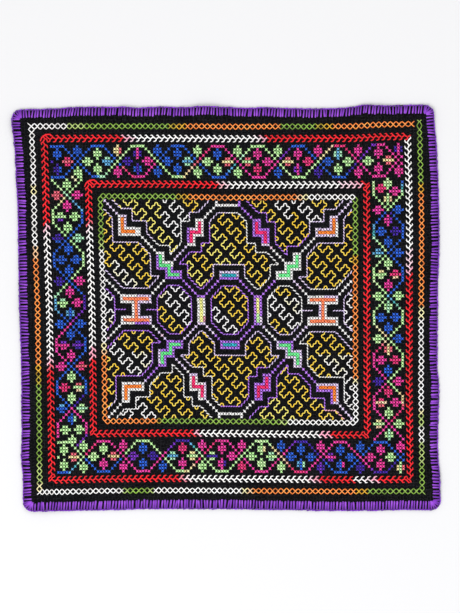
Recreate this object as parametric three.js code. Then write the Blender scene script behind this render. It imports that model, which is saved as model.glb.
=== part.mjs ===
// A small embroidered cloth, laid flat: a black cotton ground with a yarn edging stitched
// over its four sides. Millimetres, +Z up, +X to the right and +Y to the top of the cloth.
// The origin is under the middle of the cloth, on the surface that it lies on.

import * as THREE from 'three';

// Driving dimensions
const CLOTH_THICK = 1.2; // woven ground with the stitches' backs
const EDGING_DEPTH = 7.4; // length of the edging stitches, in from the edge
const EDGING_HEIGHT = 2.3; // top of the yarn ridge along the edge
const RIDGE_WIDTH = 1.6; // ridge of yarn that lies outside the ground's cut edge
const GAP = 0.3; // clearance between neighbouring solids
const CORNER_RADIUS = 8.4; // rounding of the outer corners
const LEAST_RADIUS = 1; // rounding that is left at a corner's inner points

// Corners of the four straight reference sides, before rounding. The real cloth was
// stitched a little out of square, so its left side leans more than its right side.
const CORNERS = {
  topLeft: { x: -178.1, y: 164.6 },
  topRight: { x: 172.7, y: 168.7 },
  bottomRight: { x: 178.5, y: -167.9 },
  bottomLeft: { x: -168.2, y: -169.1 },
};

// Uneven run of each side. share: place along the side, clockwise, from 0 to 1.
// out: how far the edge stands out of the straight side there; a negative one is drawn in.
const SIDES = [
  {
    name: 'top', from: 'topLeft', to: 'topRight',
    run: [
      { share: 0.00, out: 0.0 }, { share: 0.06, out: 0.3 }, { share: 0.15, out: 1.5 },
      { share: 0.25, out: 1.4 }, { share: 0.29, out: 0.4 }, { share: 0.35, out: 1.0 },
      { share: 0.40, out: 0.3 }, { share: 0.45, out: 1.0 }, { share: 0.51, out: 0.0 },
      { share: 0.565, out: -0.9 }, { share: 0.60, out: -0.4 }, { share: 0.66, out: -1.5 },
      { share: 0.73, out: -2.1 }, { share: 0.78, out: -1.8 }, { share: 0.825, out: -0.9 },
      { share: 0.85, out: 0.7 }, { share: 0.91, out: -0.3 }, { share: 0.97, out: 0.2 },
      { share: 1.00, out: 0.0 },
    ],
  },
  {
    name: 'right', from: 'topRight', to: 'bottomRight',
    run: [
      { share: 0.00, out: 0.0 }, { share: 0.11, out: 2.0 }, { share: 0.18, out: 2.7 },
      { share: 0.32, out: 2.6 }, { share: 0.48, out: 0.4 }, { share: 0.65, out: -0.7 },
      { share: 0.70, out: 0.2 }, { share: 0.86, out: -1.6 }, { share: 0.96, out: -0.2 },
      { share: 1.00, out: 0.0 },
    ],
  },
  {
    name: 'bottom', from: 'bottomRight', to: 'bottomLeft',
    run: [
      { share: 0.00, out: 0.0 }, { share: 0.06, out: -0.3 }, { share: 0.16, out: 0.4 },
      { share: 0.26, out: 0.2 }, { share: 0.40, out: -0.8 }, { share: 0.52, out: -1.5 },
      { share: 0.70, out: -1.7 }, { share: 0.84, out: -0.8 }, { share: 0.96, out: -0.3 },
      { share: 1.00, out: 0.0 },
    ],
  },
  {
    name: 'left', from: 'bottomLeft', to: 'topLeft',
    run: [
      { share: 0.00, out: 0.0 }, { share: 0.06, out: -0.5 }, { share: 0.12, out: 0.5 },
      { share: 0.20, out: -0.7 }, { share: 0.35, out: -1.7 }, { share: 0.50, out: -1.7 },
      { share: 0.66, out: -2.2 }, { share: 0.76, out: -2.8 }, { share: 0.90, out: -1.9 },
      { share: 1.00, out: 0.0 },
    ],
  },
];

// Low waves where the edge lifts off the surface.
// turn: place round the outline, one unit for each side, clockwise from the top left corner.
const WAVES = [
  { turn: 0.28, reach: 0.07, height: 0.9 },
  { turn: 0.46, reach: 0.08, height: 2.2 },
  { turn: 0.86, reach: 0.07, height: 1.1 },
  { turn: 1.02, reach: 0.06, height: 1.4 },
  { turn: 1.93, reach: 0.06, height: 0.9 },
  { turn: 2.95, reach: 0.08, height: 1.5 },
  { turn: 3.52, reach: 0.10, height: 0.7 },
  { turn: 3.97, reach: 0.06, height: 1.6 },
];

// Rings of the ground, from its cut edge in to the flat middle.
// inset: distance in from the outline. lift: share of the edge's wave that is left there.
const GROUND_RINGS = [
  { inset: RIDGE_WIDTH + GAP, lift: 1 },
  { inset: EDGING_DEPTH + 1.8, lift: 1 },
  { inset: 20, lift: 0.4 },
  { inset: 34, lift: 0 },
];

const FIELD_INSET = 105; // corners of the plain flat field in the middle

// Section of the edging, seen along its side: a ridge round the ground's cut edge and a
// layer of stitches on its face. inset: distance in from the outline. height: above the
// underside of the ground.
const LAYER_UNDERSIDE = CLOTH_THICK + GAP;
const EDGING_SECTION = [
  { inset: 0.45, height: 0 },
  { inset: 0, height: 0.8 },
  { inset: 0.3, height: 1.8 },
  { inset: 1.1, height: EDGING_HEIGHT },
  { inset: 2.4, height: EDGING_HEIGHT - 0.15 },
  { inset: EDGING_DEPTH - 0.5, height: EDGING_HEIGHT - 0.25 },
  { inset: EDGING_DEPTH, height: LAYER_UNDERSIDE + 0.2 },
  { inset: EDGING_DEPTH - 0.2, height: LAYER_UNDERSIDE },
  { inset: RIDGE_WIDTH, height: LAYER_UNDERSIDE },
  { inset: RIDGE_WIDTH, height: 0 },
];

const STEPS_PER_SIDE = 46;
const STEPS_PER_HALF_CORNER = 2;

const smoothStep = (t) => t * t * (3 - 2 * t);

// How far a side stands out at a share of its length.
function outAt(run, share) {
  const after = run.findIndex((point) => point.share >= share);
  if (after <= 0) return run[0].out;
  const a = run[after - 1];
  const b = run[after];
  return a.out + (b.out - a.out) * smoothStep((share - a.share) / (b.share - a.share));
}

// Height of the waves at a place round the outline.
function waveAt(turn) {
  let height = 0;
  for (const wave of WAVES) {
    const apart = Math.abs(turn - wave.turn);
    const near = Math.min(apart, SIDES.length - apart) / wave.reach;
    if (near < 1) height += wave.height * smoothStep(1 - near);
  }
  return height;
}

// Ends, direction and outward normal of a side.
function sideFrame(side) {
  const from = new THREE.Vector2(CORNERS[side.from].x, CORNERS[side.from].y);
  const to = new THREE.Vector2(CORNERS[side.to].x, CORNERS[side.to].y);
  const along = to.clone().sub(from).normalize();
  const outward = new THREE.Vector2(-along.y, along.x);
  return { side, from, to, along, outward };
}

// Centre of the rounding between one side and the next.
function cornerCentre(before, after) {
  const bend = before.along.angleTo(after.along);
  const back = CORNER_RADIUS * Math.tan(bend / 2);
  return before.to.clone()
    .addScaledVector(before.along, -back)
    .addScaledVector(before.outward, -CORNER_RADIUS);
}

// How far an inset goes past the rounding, where the corners keep their least radius.
const pastRounding = (inset) => Math.max(0, inset - (CORNER_RADIUS - LEAST_RADIUS));

// One station of the outline. reach(inset) gives its point at a distance in from the edge.
function sideStation(frame, start, end, step, index) {
  const share = step / STEPS_PER_SIDE;
  const out = outAt(frame.side.run, share);
  const reach = (inset) => {
    const a = start.clone().addScaledVector(frame.along, pastRounding(inset));
    const b = end.clone().addScaledVector(frame.along, -pastRounding(inset));
    return a.lerp(b, share).addScaledVector(frame.outward, out - inset);
  };
  return { turn: index + share, along: frame.along, reach };
}

function cornerStation(centre, before, after, step, turn) {
  const steps = 2 * STEPS_PER_HALF_CORNER;
  const angle = before.outward.angle() - before.along.angleTo(after.along) * (step / steps);
  const spoke = new THREE.Vector2(Math.cos(angle), Math.sin(angle));
  const reach = (inset) => {
    const past = pastRounding(inset);
    return centre.clone()
      .addScaledVector(spoke, CORNER_RADIUS - inset + past)
      .addScaledVector(before.outward, -past)
      .addScaledVector(after.outward, -past);
  };
  return { turn, along: new THREE.Vector2(spoke.y, -spoke.x), reach };
}

// Stations of each side's stretch, from the middle of one corner to the middle of the next.
function outlineStretches() {
  const frames = SIDES.map(sideFrame);
  const centres = frames.map((frame, i) => cornerCentre(frame, frames[(i + 1) % frames.length]));
  return frames.map((frame, i) => {
    const last = (i + frames.length - 1) % frames.length;
    const next = (i + 1) % frames.length;
    const start = centres[last].clone().addScaledVector(frame.outward, CORNER_RADIUS);
    const end = centres[i].clone().addScaledVector(frame.outward, CORNER_RADIUS);
    const stations = [];
    for (let step = STEPS_PER_HALF_CORNER; step < 2 * STEPS_PER_HALF_CORNER; step += 1) {
      stations.push(cornerStation(centres[last], frames[last], frame, step, i));
    }
    for (let step = 0; step <= STEPS_PER_SIDE; step += 1) {
      stations.push(sideStation(frame, start, end, step, i));
    }
    for (let step = 1; step <= STEPS_PER_HALF_CORNER; step += 1) {
      stations.push(cornerStation(centres[i], frame, frames[next], step, i + 1));
    }
    return { name: frame.side.name, stations };
  });
}

// Triangles that fill a flat outline, each wound counter-clockwise.
function fillOutline(outline) {
  return THREE.ShapeUtils.triangulateShape(outline, []).map(([a, b, c]) => {
    const turn = outline[b].clone().sub(outline[a]).cross(outline[c].clone().sub(outline[a]));
    return turn > 0 ? [a, b, c] : [a, c, b];
  });
}

// A closed mesh from a list of points and triangles.
function solidGeometry(points, triangles) {
  const geometry = new THREE.BufferGeometry();
  const positions = points.flatMap((point) => [point.x, point.y, point.z]);
  geometry.setAttribute('position', new THREE.Float32BufferAttribute(positions, 3));
  geometry.setIndex(triangles.flat());
  geometry.computeVertexNormals();
  return geometry;
}

// The ground: rings of points under and over the cloth, closed by a flat middle that fans
// from each side of the last ring to a plain four-cornered field.
function groundGeometry(stretches) {
  const stations = stretches.flatMap((stretch) => stretch.stations.slice(1));
  const count = stations.length;
  const points = [];
  const ringPoints = (ring, height) => stations.map((station) => {
    const place = station.reach(ring.inset);
    const lift = ring.lift * waveAt(station.turn);
    points.push(new THREE.Vector3(place.x, place.y, lift + height));
    return points.length - 1;
  });
  const under = GROUND_RINGS.map((ring) => ringPoints(ring, 0));
  const over = GROUND_RINGS.map((ring) => ringPoints(ring, CLOTH_THICK));

  const triangles = [];
  const band = (outer, inner) => {
    for (let i = 0; i < count; i += 1) {
      const j = (i + 1) % count;
      triangles.push([outer[i], inner[i], inner[j]], [outer[i], inner[j], outer[j]]);
    }
  };
  for (let ring = 0; ring + 1 < GROUND_RINGS.length; ring += 1) {
    band(over[ring], over[ring + 1]);
    band(under[ring + 1], under[ring]);
  }
  band(under[0], over[0]);

  // A field of four corners, each side of which takes in that side's stations of the ring.
  const perSide = count / stretches.length;
  const middle = Math.floor(perSide / 2);
  const fillMiddle = (ring, height, wound) => {
    const field = stretches.map((stretch) => {
      const place = stretch.stations[0].reach(FIELD_INSET);
      points.push(new THREE.Vector3(place.x, place.y, height));
      return points.length - 1;
    });
    field.forEach((near, side) => {
      const far = field[(side + 1) % field.length];
      const first = side * perSide + count - 1;
      for (let k = 0; k < perSide; k += 1) {
        const a = ring[(first + k) % count];
        const b = ring[(first + k + 1) % count];
        triangles.push(wound(a, k < middle ? near : far, b));
      }
      triangles.push(wound(ring[(first + middle) % count], near, far));
    });
    const [topLeft, topRight, bottomRight, bottomLeft] = field;
    triangles.push(wound(topLeft, bottomLeft, topRight), wound(topRight, bottomLeft, bottomRight));
  };
  fillMiddle(over.at(-1), CLOTH_THICK, (a, b, c) => [a, b, c]);
  fillMiddle(under.at(-1), 0, (a, b, c) => [a, c, b]);
  return solidGeometry(points, triangles);
}

// One side's edging: the section carried along the side's stations, with flat ends.
function edgingGeometry(stretch) {
  const { stations } = stretch;
  const corners = EDGING_SECTION.length;
  const points = [];
  stations.forEach((station, i) => {
    let shift = 0;
    if (i === 0) shift = GAP / 2;
    if (i === stations.length - 1) shift = -GAP / 2;
    for (const corner of EDGING_SECTION) {
      const place = station.reach(corner.inset).addScaledVector(station.along, shift);
      points.push(new THREE.Vector3(place.x, place.y, waveAt(station.turn) + corner.height));
    }
  });

  const triangles = [];
  for (let i = 0; i + 1 < stations.length; i += 1) {
    for (let k = 0; k < corners; k += 1) {
      const next = (k + 1) % corners;
      const a = i * corners + k;
      const b = i * corners + next;
      const c = (i + 1) * corners + k;
      const d = (i + 1) * corners + next;
      triangles.push([a, b, d], [a, d, c]);
    }
  }
  const outline = EDGING_SECTION.map((corner) => new THREE.Vector2(corner.inset, corner.height));
  const lastRow = (stations.length - 1) * corners;
  for (const [a, b, c] of fillOutline(outline)) {
    triangles.push([a, b, c], [lastRow + a, lastRow + c, lastRow + b]);
  }
  return solidGeometry(points, triangles);
}

const blackCotton = new THREE.MeshStandardMaterial({ color: '#17171b', roughness: 0.95, metalness: 0 });
const purpleYarn = new THREE.MeshStandardMaterial({ color: '#8a3fcc', roughness: 0.8, metalness: 0 });

function namedMesh(name, geometry, material) {
  const mesh = new THREE.Mesh(geometry, material);
  mesh.name = name;
  return mesh;
}

function buildCloth() {
  const stretches = outlineStretches();
  const cloth = new THREE.Group();
  cloth.add(namedMesh('ground_cloth', groundGeometry(stretches), blackCotton));
  for (const stretch of stretches) {
    cloth.add(namedMesh(`edging_${stretch.name}`, edgingGeometry(stretch), purpleYarn));
  }
  const middle = new THREE.Box3().setFromObject(cloth).getCenter(new THREE.Vector3());
  for (const mesh of cloth.children) mesh.position.set(-middle.x, -middle.y, 0);
  return cloth;
}

export default buildCloth();
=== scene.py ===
"""Looks of a small embroidered cloth: woven ground, yarn edging, border stitches,
flowered bands and the patterned middle, laid flat and seen from above. Metres."""
import math

import bpy
import numpy as np
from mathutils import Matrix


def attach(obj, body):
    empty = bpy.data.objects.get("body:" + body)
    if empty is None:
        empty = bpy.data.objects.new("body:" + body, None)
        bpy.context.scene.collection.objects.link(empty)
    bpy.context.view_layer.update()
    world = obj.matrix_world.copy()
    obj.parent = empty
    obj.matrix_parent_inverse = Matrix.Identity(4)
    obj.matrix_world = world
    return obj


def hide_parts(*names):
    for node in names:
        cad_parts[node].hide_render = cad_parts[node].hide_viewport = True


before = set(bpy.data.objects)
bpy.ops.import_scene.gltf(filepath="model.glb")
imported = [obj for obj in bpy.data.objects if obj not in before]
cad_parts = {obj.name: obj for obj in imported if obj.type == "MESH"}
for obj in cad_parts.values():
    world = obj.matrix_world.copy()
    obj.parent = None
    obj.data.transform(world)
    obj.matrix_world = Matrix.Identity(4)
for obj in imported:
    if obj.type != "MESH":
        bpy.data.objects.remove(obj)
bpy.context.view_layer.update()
rng = np.random.default_rng(11)

MM = 0.001

# Colours


def linear(code):
    """Linear colour from a written hexadecimal one."""
    parts = [int(code[i:i + 2], 16) / 255 for i in (0, 2, 4)]
    return np.array([c / 12.92 if c <= 0.04045 else ((c + 0.055) / 1.055) ** 2.4 for c in parts])


YARN = {name: linear(code) for name, code in {
    "white": "FCFAF8", "cream": "F4ECBC", "buff": "F6E0A0", "peach": "F8CFA8",
    "pink": "FAB0C6", "rose": "FADAE4", "blush": "F0CAE2", "red": "F01A26",
    "orange": "FFA054", "gold": "E0B23A", "olive": "B8A63C", "leaf": "94B656",
    "pale_leaf": "BACE84", "lime": "C2FFA6", "teal": "46ACB4", "sky": "62AEDE",
    "blue": "2262DA", "indigo": "421CAA", "violet": "B676F2", "plum": "7A2AC2",
    "lavender": "E2D0FA", "magenta": "FF3CA4", "coral": "FA6A7E", "hot_pink": "F8347E",
    "cerise": "F0246A", "blaze": "FA7E22", "salmon": "FA7E50", "mint": "ACECBC",
    "lemon": "F2F08E", "jade": "66E488", "deep_teal": "20A2B0", "fill_gold": "F8CE3A",
    "fill_light": "F8EA76", "purple": "7629B4", "purple_light": "A250DE",
    # the darkest purple is painted shade for the outer ends of the edging stitches, not a yarn of
    # its own
    "purple_painted_shade": "36105A",
}.items()}

# Outline of the cloth, in millimetres, before the shift to the middle of its box

CLOTH_THICK = 1.2
MIDDLE = np.array([0.2534, -0.1956])
CORNER_RADIUS = 8.4
CORNERS = np.array([(-178.1, 164.6), (172.7, 168.7), (178.5, -167.9), (-168.2, -169.1)])
ARC_STEPS = 24
EDGE_STEP = 0.25

# share along each side, clockwise from the top left corner, and how far the edge stands out
EDGE_RUNS = [
    [(0.00, 0.0), (0.06, 0.3), (0.15, 1.5), (0.25, 1.4), (0.29, 0.4), (0.35, 1.0), (0.40, 0.3),
     (0.45, 1.0), (0.51, 0.0), (0.565, -0.9), (0.60, -0.4), (0.66, -1.5), (0.73, -2.1),
     (0.78, -1.8), (0.825, -0.9), (0.85, 0.7), (0.91, -0.3), (0.97, 0.2), (1.00, 0.0)],
    [(0.00, 0.0), (0.11, 2.0), (0.18, 2.7), (0.32, 2.6), (0.48, 0.4), (0.65, -0.7),
     (0.70, 0.2), (0.86, -1.6), (0.96, -0.2), (1.00, 0.0)],
    [(0.00, 0.0), (0.06, -0.3), (0.16, 0.4), (0.26, 0.2), (0.40, -0.8), (0.52, -1.5),
     (0.70, -1.7), (0.84, -0.8), (0.96, -0.3), (1.00, 0.0)],
    [(0.00, 0.0), (0.06, -0.5), (0.12, 0.5), (0.20, -0.7), (0.35, -1.7), (0.50, -1.7),
     (0.66, -2.2), (0.76, -2.8), (0.90, -1.9), (1.00, 0.0)],
]

# waves of the edge: place round the outline, one unit a side; reach; height
WAVES = [(0.28, 0.07, 0.9), (0.46, 0.08, 2.2), (0.86, 0.07, 1.1), (1.02, 0.06, 1.4),
         (1.93, 0.06, 0.9), (2.95, 0.08, 1.5), (3.52, 0.10, 0.7), (3.97, 0.06, 1.6)]
# what is left of a wave at an inset from the edge
WAVE_INSETS, WAVE_LEFT = [0, 9.2, 20, 34], [1, 1, 0.4, 0]


def smooth(t):
    """Soft step from 0 to 1."""
    t = np.clip(t, 0, 1)
    return t * t * (3 - 2 * t)


def out_at(side, share):
    """How far the edge stands out from the straight side."""
    shares, outs = np.array(EDGE_RUNS[side]).T
    i = np.clip(np.searchsorted(shares, share), 1, len(shares) - 1)
    t = smooth((share - shares[i - 1]) / (shares[i] - shares[i - 1]))
    return outs[i - 1] + (outs[i] - outs[i - 1]) * t


def wave_at(turn):
    """Height of the edge at places round the outline."""
    height = np.zeros_like(turn)
    for centre, reach, high in WAVES:
        apart = np.abs(turn - centre)
        height += high * smooth(1 - np.minimum(apart, 4 - apart) / reach)
    return height


def unit(vectors):
    """Vectors made 1 long."""
    return vectors / np.maximum(np.linalg.norm(vectors, axis=-1, keepdims=True), 1e-9)


def side_axes(side):
    """The two corners of a side, the way along it and the way out of the cloth."""
    a, b = CORNERS[side % 4], CORNERS[(side + 1) % 4]
    along = unit(b - a)
    return a, b, along, np.array([-along[1], along[0]])


def corner_centre(side):
    """Centre of the rounding at the end of a side."""
    _, b, along, outward = side_axes(side)
    bend = math.acos(float(np.dot(along, side_axes(side + 1)[2])))
    return b - along * CORNER_RADIUS * math.tan(bend / 2) - outward * CORNER_RADIUS


def edge_line(side):
    """Points and outward directions along a side, from one corner's middle to the next's."""
    outward, before, after = [side_axes(k)[3] for k in (side, side + 3, side + 1)]
    start_centre, end_centre = corner_centre(side + 3), corner_centre(side)
    start, end = start_centre + outward * CORNER_RADIUS, end_centre + outward * CORNER_RADIUS
    points, spokes = [], []

    def arc(centre, first, last):
        for t in np.linspace(0, 1, ARC_STEPS + 1)[:-1]:
            spokes.append(unit(first + (last - first) * t))
            points.append(centre + spokes[-1] * CORNER_RADIUS)

    arc(start_centre, unit(before + outward), outward)
    for t in np.linspace(0, 1, int(np.linalg.norm(end - start) / EDGE_STEP)):
        points.append(start + (end - start) * t + outward * out_at(side, t))
        spokes.append(outward)
    arc(end_centre, outward, unit(after + outward))
    return np.array(points), np.array(spokes)


def lift(x, y):
    """Height of the cloth's underside at points in the frame, in millimetres."""
    p = np.stack([np.ravel(x), np.ravel(y)], axis=1) + MIDDLE
    total, weights = np.zeros(len(p)), np.zeros(len(p))
    for side in range(4):
        a, b, along, outward = side_axes(side)
        inset = np.maximum(-(p - a) @ outward, 0)
        share = np.clip((p - a) @ along / np.linalg.norm(b - a), 0, 1)
        weight = 1 / (inset + 2) ** 3
        total += weight * np.interp(inset, WAVE_INSETS, WAVE_LEFT) * wave_at(side + share)
        weights += weight
    return (total / weights).reshape(np.shape(x))


def running_length(points):
    """Length of a line up to each of its points."""
    steps = np.linalg.norm(np.diff(points, axis=0), axis=1)
    return np.concatenate([[0], np.cumsum(steps)])


def on_line(distance, length, points):
    """Points of a line at distances along it."""
    return np.stack([np.interp(distance, length, points[:, k]) for k in (0, 1)], axis=-1)


# Stitch grid: u counts stitches to the right of the cloth's middle and v upwards. The cloth
# was counted by its threads, so its lines lean and bow a little. Guide lines: where a row or a
# column lies in the photo, in pixels, at a few places from the lower to the higher u or v.

PIXEL_MM = 0.83
PHOTO_MIDDLE = (225.9, 307.9)
PLACES_U = [-67.5, -59, -44.5, -22, 0, 44.5, 55, 67.5]
ROWS = {
    -60.0: [491.8, 491.6, 490.6, 490.2, 490.6, 491.3, 491.1, 491.0],
    -53.5: [472.6, 472.3, 471.2, 470.6, 471.0, 472.2, 471.9, 471.8],
    -43.5: [442.3, 442.2, 441.0, 440.3, 440.7, 442.3, 442.1, 441.9],
    -37.0: [422.2, 422.1, 421.1, 420.8, 421.2, 422.7, 422.1, 421.9],
    0.0: [310.6, 310.6, 309.2, 309.7, 310.3, 310.7, 309.7, 309.5],
    37.0: [197.0, 196.9, 196.2, 196.5, 197.7, 197.0, 195.9, 195.6],
    43.5: [177.4, 177.3, 176.6, 176.5, 177.3, 177.1, 176.0, 175.7],
    53.5: [146.7, 146.5, 146.1, 145.9, 146.5, 146.0, 144.4, 144.2],
    60.0: [126.5, 126.3, 126.3, 126.4, 126.8, 126.4, 124.6, 124.2],
}
PLACES_V = [-60, -43, -27, 0, 27, 43, 45, 53, 55, 60]
COLUMNS = {
    -67.5: [39.8, 39.4, 38.9, 37.8, 34.6, 33.5, 33.5, 32.5, 32.2, 31.6],
    -61.0: [58.8, 58.4, 57.6, 56.0, 53.5, 52.3, 52.0, 51.4, 51.2, 50.7],
    -51.0: [86.9, 86.4, 86.1, 84.9, 82.4, 81.3, 81.0, 80.3, 80.4, 80.0],
    -44.5: [105.4, 105.0, 104.9, 103.6, 101.0, 100.0, 99.2, 98.8, 99.2, 98.8],
    0.0: [230.6, 230.4, 230.4, 229.8, 228.1, 227.6, 226.2, 226.0, 227.2, 227.0],
    44.5: [356.0, 355.8, 355.4, 355.2, 355.2, 355.0, 353.8, 353.6, 354.6, 354.4],
    56.0: [389.3, 389.2, 388.2, 388.2, 388.1, 387.5, 387.0, 386.6, 386.5, 386.2],
    67.5: [421.9, 421.4, 420.9, 421.1, 421.5, 420.6, 420.4, 419.8, 419.6, 419.2],
}


def between(value, guides, places, spot):
    """Value between the two nearest guide lines, each read at its spot."""
    keys = np.array(list(guides))
    read = np.array([np.interp(spot, places, run) for run in guides.values()])
    i = np.clip(np.searchsorted(keys, value), 1, len(keys) - 1)
    t = (value - keys[i - 1]) / (keys[i] - keys[i - 1])
    pick = np.arange(len(value))
    return read[i - 1, pick] * (1 - t) + read[i, pick] * t


def place(u, v):
    """Millimetres in the frame for grid places."""
    u, v = np.broadcast_arrays(np.asarray(u, float), np.asarray(v, float))
    px = between(u.ravel(), COLUMNS, PLACES_V, v.ravel())
    py = between(v.ravel(), ROWS, PLACES_U, u.ravel())
    x = (px - PHOTO_MIDDLE[0]) * PIXEL_MM - MIDDLE[0]
    y = (PHOTO_MIDDLE[1] - py) * PIXEL_MM - MIDDLE[1]
    return x.reshape(u.shape), y.reshape(u.shape)


def over_cloth(u, v, height):
    """Points over grid places, at a height above the face of the cloth."""
    x, y = place(u, v)
    return np.stack([x, y, lift(x, y) + CLOTH_THICK + height], axis=-1)


# Threads as meshes

TWIST_PER_MM = 5.2


def mesh_object(name, points, loops, sizes, material):
    """An object from points, the corners of its faces in a row and each face's size."""
    mesh = bpy.data.meshes.new(name)
    mesh.vertices.add(len(points))
    mesh.vertices.foreach_set("co", points.astype(np.float32).ravel())
    mesh.loops.add(len(loops))
    mesh.loops.foreach_set("vertex_index", loops.astype(np.int32))
    mesh.polygons.add(len(sizes))
    starts = np.concatenate([[0], np.cumsum(sizes)[:-1]])
    mesh.polygons.foreach_set("loop_start", starts.astype(np.int32))
    mesh.polygons.foreach_set("loop_total", sizes.astype(np.int32))
    mesh.polygons.foreach_set("use_smooth", np.ones(len(sizes), bool))
    mesh.update(calc_edges=True)
    mesh.validate()
    mesh.materials.append(material)
    obj = bpy.data.objects.new(name, mesh)
    bpy.context.scene.collection.objects.link(obj)
    return obj


class Yarn:
    """Threads gathered into one mesh, with a colour and a place along the twist."""

    def __init__(self):
        self.points, self.loops, self.sizes, self.colours, self.twists = [], [], [], [], []
        self.count = 0

    def thread(self, path, radius, colour, sides=6, flat=0.8, ends=0.45):
        """A tube along path, in millimetres. colour: one for all or one a point. ends: how
        much thinner the ends are, or the thickness at every point."""
        n = len(path)
        heading = unit(np.gradient(path, axis=0))
        across = unit(np.stack([heading[:, 1], -heading[:, 0], np.zeros(n)], axis=1))
        over = np.cross(across, heading)
        over[over[:, 2] < 0] *= -1
        size = np.full(n, float(radius))
        if np.ndim(ends) == 0:
            size[[0, -1]] *= ends
        else:
            size *= ends
        turn = np.arange(sides) * 2 * math.pi / sides - math.pi / 2
        ring = (path[:, None, :]
                + across[:, None, :] * (np.cos(turn)[None, :, None] * size[:, None, None])
                + over[:, None, :] * (np.sin(turn)[None, :, None] * size[:, None, None] * flat))
        self.points.append(ring.reshape(-1, 3))
        self.colours.append(np.repeat(np.broadcast_to(colour, (n, 3)), sides, axis=0))
        twist = running_length(path)[:, None] * TWIST_PER_MM + turn[None, :] * 2
        self.twists.append(twist.ravel())
        base = self.count + np.arange(n - 1)[:, None] * sides
        k = np.arange(sides)[None, :]
        k2 = (k + 1) % sides
        quads = np.stack([base + k, base + k2, base + sides + k2, base + sides + k], axis=-1)
        caps = [self.count + np.arange(sides)[::-1],
                self.count + (n - 1) * sides + np.arange(sides)]
        self.loops += [quads.ravel(), *caps]
        self.sizes.append(np.array([4] * ((n - 1) * sides) + [sides] * 2))
        self.count += n * sides

    def build(self, name, material):
        obj = mesh_object(name, np.concatenate(self.points) * MM, np.concatenate(self.loops),
                          np.concatenate(self.sizes), material)
        colours = np.concatenate(self.colours)
        rgba = np.concatenate([colours, np.ones((len(colours), 1))], axis=1)
        layer = obj.data.color_attributes.new("yarn", "FLOAT_COLOR", "POINT")
        layer.data.foreach_set("color", rgba.astype(np.float32).ravel())
        twist = obj.data.attributes.new("twist", "FLOAT", "POINT")
        twist.data.foreach_set("value", np.concatenate(self.twists).astype(np.float32))
        return obj


# Materials


def set_inputs(node, inputs):
    """Sets numbers at a node's inputs, or links outputs of other nodes into them."""
    for key, value in inputs.items():
        if isinstance(value, bpy.types.NodeSocket):
            node.id_data.links.new(value, node.inputs[key])
        else:
            node.inputs[key].default_value = value


def new_material(name):
    material = bpy.data.materials.new(name)
    material.use_nodes = True
    nodes = material.node_tree.nodes
    return material, nodes, next(node for node in nodes if node.type == "BSDF_PRINCIPLED")


def add_node(nodes, kind, inputs, **settings):
    node = nodes.new(f"ShaderNode{kind}")
    for key, value in settings.items():
        setattr(node, key, value)
    set_inputs(node, inputs)
    return node


def noise(nodes, at, scale, detail):
    inputs = {"Vector": at, "Scale": scale, "Detail": detail}
    return add_node(nodes, "TexNoise", inputs).outputs["Fac"]


def product(nodes, a, b):
    return add_node(nodes, "Math", {0: a, 1: b}, operation="MULTIPLY").outputs["Value"]


def yarn_material(name):
    """Yarn in the colour of its mesh, which is dye with painted shade and highlights, a little
    uneven, and the ridges of its twist.
    """
    material, nodes, shader = new_material(name)
    at = add_node(nodes, "TexCoord", {}).outputs["Object"]
    dye = add_node(nodes, "Attribute", {}, attribute_name="yarn")
    shade = add_node(nodes, "MapRange", {"Value": noise(nodes, at, 1400, 2),
                                         "To Min": 0.82, "To Max": 1.18})
    colour = add_node(nodes, "VectorMath", {0: dye.outputs["Color"],
                                            "Scale": shade.outputs["Result"]}, operation="SCALE")
    twist = add_node(nodes, "Attribute", {}, attribute_name="twist")
    ridges = add_node(nodes, "Math", {0: twist.outputs["Fac"]}, operation="SINE")
    bump = add_node(nodes, "Bump", {"Height": ridges.outputs["Value"], "Strength": 0.5,
                                    "Distance": 0.00016})
    set_inputs(shader, {"Base Color": colour.outputs["Vector"], "Normal": bump.outputs["Normal"],
                        "Roughness": 0.75, "Specular IOR Level": 0.25,
                        "Sheen Weight": 0.15, "Sheen Roughness": 0.5})
    return material


def cotton_material():
    """Plain weave, in black that is a little uneven, with pale lint, and painted light: lighter
    thread tops and painted shade between the threads.
    """
    material, nodes, shader = new_material("black_cotton")
    at = add_node(nodes, "TexCoord", {}).outputs["Object"]
    threads = {"Vector": at, "Scale": 262, "Distortion": 1.2, "Detail": 1}
    weave = product(nodes, *[add_node(nodes, "TexWave", threads, bands_direction=way).outputs["Fac"]
                             for way in ("X", "Y")])
    lint = add_node(nodes, "MapRange", {"Value": noise(nodes, at, 800, 1), "From Min": 0.35,
                                        "From Max": 0.7, "To Min": 0.2, "To Max": 3.2})
    uneven_weave = product(nodes, weave, noise(nodes, at, 45, 4))
    # the weave lightens the thread tops and darkens the gaps between them: painted highlight and
    # painted shade
    shade = product(nodes, uneven_weave, lint.outputs["Result"])
    ramp = add_node(nodes, "ValToRGB", {"Fac": shade})
    for stop, code in zip(ramp.color_ramp.elements, ("020203", "2C2C30")):
        stop.color = (*linear(code), 1)
    bump = add_node(nodes, "Bump", {"Height": weave, "Strength": 0.6, "Distance": 0.0002})
    set_inputs(shader, {"Base Color": ramp.outputs["Color"], "Normal": bump.outputs["Normal"],
                        "Roughness": 0.95, "Specular IOR Level": 0.06})
    return material


stitch_material = yarn_material("embroidery_thread")
edging_material = yarn_material("purple_yarn")
ground_material = cotton_material()

# The ground, a sheet between the four edges

GROUND_POINTS = 171
GROUND_INSET = 0.9


def side_curve(side):
    points, spokes = edge_line(side)
    inner = points - spokes * GROUND_INSET
    length = running_length(inner)
    return on_line(np.linspace(0, length[-1], GROUND_POINTS), length, inner) - MIDDLE


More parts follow.
